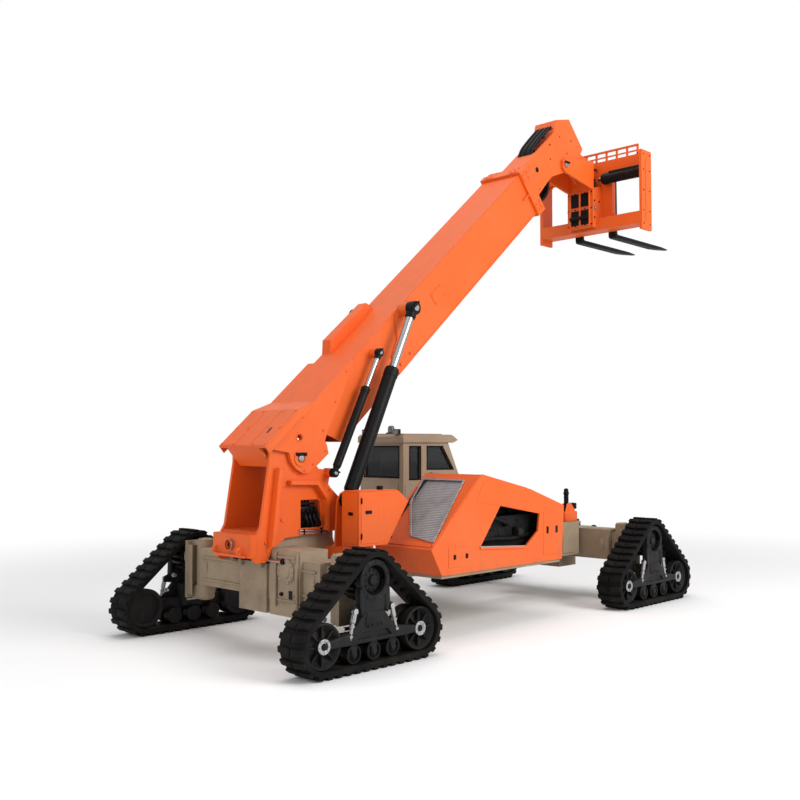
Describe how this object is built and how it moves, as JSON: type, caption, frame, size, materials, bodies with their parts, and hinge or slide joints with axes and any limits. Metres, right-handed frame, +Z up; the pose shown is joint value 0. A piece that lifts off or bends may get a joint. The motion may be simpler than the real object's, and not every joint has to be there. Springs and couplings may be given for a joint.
{
  "type": "tracked telehandler",
  "caption": "Heavy telehandler with a telescopic boom and pallet forks, an offset cab, a side engine hood and steered triangular rubber track units.",
  "frame": {"origin": "on the ground, under the middle of the bounding box", "axes": "+X forward to the forks, +Y to the machine's left, +Z up"},
  "size_m": [10.3686, 3.85, 8.0338],
  "materials": {
    "orange_paint": "semi-gloss enamel, dusty low down",
    "tan_paint": "satin enamel",
    "track_rubber": "matt moulded rubber",
    "cast_grey": "dull cast surface",
    "dark_steel": "black paint",
    "bright_steel": "hard chrome",
    "screen_mesh": "woven wire, matt grey",
    "tinted_glass": "tinted safety glass",
    "black_fabric": "black woven cloth"
  },
  "bodies": {
    "chassis": {"boom_pivot_pin": "bright_steel", "cab_front_frame": "tan_paint", "cab_left_frame": "tan_paint", "cab_platform": "tan_paint", "cab_rear_wall": "tan_paint", "cab_right_wall": "tan_paint", "cab_roof": "tan_paint", "engine_block": "cast_grey", "engine_hood": "orange_paint", "front_axle": "tan_paint", "front_bracket": "orange_paint", "lift_bracket_left": "orange_paint", "lift_bracket_right": "orange_paint", "main_frame": "tan_paint", "radiator_screen": "screen_mesh", "rear_axle": "tan_paint", "rear_glass": "tinted_glass", "rear_quarter_glass": "tinted_glass", "right_glass": "tinted_glass", "seat_backrest": "black_fabric", "seat_base": "dark_steel", "seat_cushion": "black_fabric", "side_box": "orange_paint", "steering_wheel": "dark_steel", "tower_floor": "orange_paint", "tower_plate_left": "orange_paint", "tower_plate_right": "orange_paint", "windscreen": "tinted_glass"},
    "front_left_track_unit": {"front_left_belt": "track_rubber", "front_left_undercarriage": "cast_grey", "front_left_knuckle": "tan_paint"},
    "front_right_track_unit": {"front_right_belt": "track_rubber", "front_right_undercarriage": "cast_grey", "front_right_knuckle": "tan_paint"},
    "rear_left_track_unit": {"rear_left_belt": "track_rubber", "rear_left_undercarriage": "cast_grey", "rear_left_knuckle": "tan_paint"},
    "rear_right_track_unit": {"rear_right_belt": "track_rubber", "rear_right_undercarriage": "cast_grey", "rear_right_knuckle": "tan_paint"},
    "cab_door": {"cab_door": "tan_paint", "door_glass": "tinted_glass"},
    "boom": {"boom_outer_section": "orange_paint"},
    "boom_middle": {"boom_middle_section": "orange_paint"},
    "boom_inner": {"boom_inner_section": "orange_paint", "tilt_pin": "bright_steel"},
    "carriage": {"carriage_frame": "orange_paint", "carriage_guard": "orange_paint", "fork_left": "dark_steel", "fork_right": "dark_steel", "side_shift_cylinder": "dark_steel"},
    "lift_barrel_left": {"lift_cylinder_left_barrel": "dark_steel"},
    "lift_rod_left": {"lift_cylinder_left_rod": "bright_steel"},
    "lift_barrel_right": {"lift_cylinder_right_barrel": "dark_steel"},
    "lift_rod_right": {"lift_cylinder_right_rod": "bright_steel"},
    "levelling_barrel": {"levelling_cylinder_barrel": "dark_steel"},
    "levelling_rod": {"levelling_cylinder_rod": "bright_steel"},
    "tilt_barrel": {"tilt_cylinder_barrel": "dark_steel"},
    "tilt_rod": {"tilt_cylinder_rod": "bright_steel"}
  },
  "joints": [
    {"name": "steer_front_left", "type": "hinge", "parent": "chassis", "child": "front_left_track_unit", "pos_m": [1.98466, 1.33, 0], "axis": [0, 0, 1], "range_deg": [-25, 25]},
    {"name": "steer_front_right", "type": "hinge", "parent": "chassis", "child": "front_right_track_unit", "pos_m": [1.98466, -1.33, 0], "axis": [0, 0, 1], "range_deg": [-25, 25]},
    {"name": "steer_rear_left", "type": "hinge", "parent": "chassis", "child": "rear_left_track_unit", "pos_m": [-4.09534, 1.33, 0], "axis": [0, 0, 1], "range_deg": [-25, 25]},
    {"name": "steer_rear_right", "type": "hinge", "parent": "chassis", "child": "rear_right_track_unit", "pos_m": [-4.09534, -1.33, 0], "axis": [0, 0, 1], "range_deg": [-25, 25]},
    {"name": "cab_door_hinge", "type": "hinge", "parent": "chassis", "child": "cab_door", "pos_m": [-0.64234, 1.637, 1.2], "axis": [0, 0, 1], "range_deg": [0, 90]},
    {"name": "boom_lift", "type": "hinge", "parent": "chassis", "child": "boom", "pos_m": [-3.94234, 0, 2.304], "axis": [0, -1, 0], "range_deg": [-45, 25]},
    {"name": "boom_extend", "type": "slide", "parent": "boom", "child": "boom_middle", "axis": [0.7547, 0, 0.6561], "range_m": [0, 4.5]},
    {"name": "boom_inner_extend", "type": "slide", "parent": "boom_middle", "child": "boom_inner", "axis": [0.7547, 0, 0.6561], "range_m": [0, 4.5]},
    {"name": "carriage_tilt", "type": "hinge", "parent": "boom_inner", "child": "carriage", "pos_m": [2.04104, 0, 7.20185], "axis": [0, 1, 0], "range_deg": [-57, 39]},
    {"name": "lift_barrel_left_pivot", "type": "hinge", "parent": "chassis", "child": "lift_barrel_left", "pos_m": [-3.28634, 0.565, 1.768], "axis": [0, -1, 0], "range_deg": [-45, 25]},
    {"name": "lift_rod_left_slide", "type": "slide", "parent": "lift_barrel_left", "child": "lift_rod_left", "axis": [0.4293, 0, 0.9032], "range_m": [-0.6255, 0.3475]},
    {"name": "lift_barrel_right_pivot", "type": "hinge", "parent": "chassis", "child": "lift_barrel_right", "pos_m": [-3.28634, -0.565, 1.768], "axis": [0, -1, 0], "range_deg": [-45, 25]},
    {"name": "lift_rod_right_slide", "type": "slide", "parent": "lift_barrel_right", "child": "lift_rod_right", "axis": [0.4293, 0, 0.9032], "range_m": [-0.6255, 0.3475]},
    {"name": "levelling_barrel_pivot", "type": "hinge", "parent": "chassis", "child": "levelling_barrel", "pos_m": [-3.44834, -0.495, 2.113], "axis": [0, -1, 0], "range_deg": [-49.5, 27.5]},
    {"name": "levelling_rod_slide", "type": "slide", "parent": "levelling_barrel", "child": "levelling_rod", "axis": [0.452, 0, 0.892], "range_m": [-0.3645, 0.2025]},
    {"name": "tilt_barrel_pivot", "type": "hinge", "parent": "boom_inner", "child": "tilt_barrel", "pos_m": [1.27502, 0, 6.97188], "axis": [0, 1, 0], "range_deg": [-17.1, 11.7]},
    {"name": "tilt_rod_slide", "type": "slide", "parent": "tilt_barrel", "child": "tilt_rod", "axis": [0.8095, 0, 0.5871], "range_m": [-0.2907, 0.1989]}
  ],
  "couplings": [
    {"joint": "steer_front_right", "follows": "steer_front_left", "ratio": 1},
    {"joint": "steer_rear_right", "follows": "steer_rear_left", "ratio": 1},
    {"joint": "boom_inner_extend", "follows": "boom_extend", "ratio": 1},
    {"joint": "lift_barrel_left_pivot", "follows": "boom_lift", "ratio": 1},
    {"joint": "lift_barrel_right_pivot", "follows": "boom_lift", "ratio": 1},
    {"joint": "lift_rod_left_slide", "follows": "boom_lift", "m_per_rad": 0.79641},
    {"joint": "lift_rod_right_slide", "follows": "boom_lift", "m_per_rad": 0.79641},
    {"joint": "levelling_barrel_pivot", "follows": "boom_lift", "ratio": 1.1},
    {"joint": "levelling_rod_slide", "follows": "boom_lift", "m_per_rad": 0.4641},
    {"joint": "tilt_barrel_pivot", "follows": "carriage_tilt", "ratio": 0.3},
    {"joint": "tilt_rod_slide", "follows": "carriage_tilt", "m_per_rad": 0.29221}
  ]
}
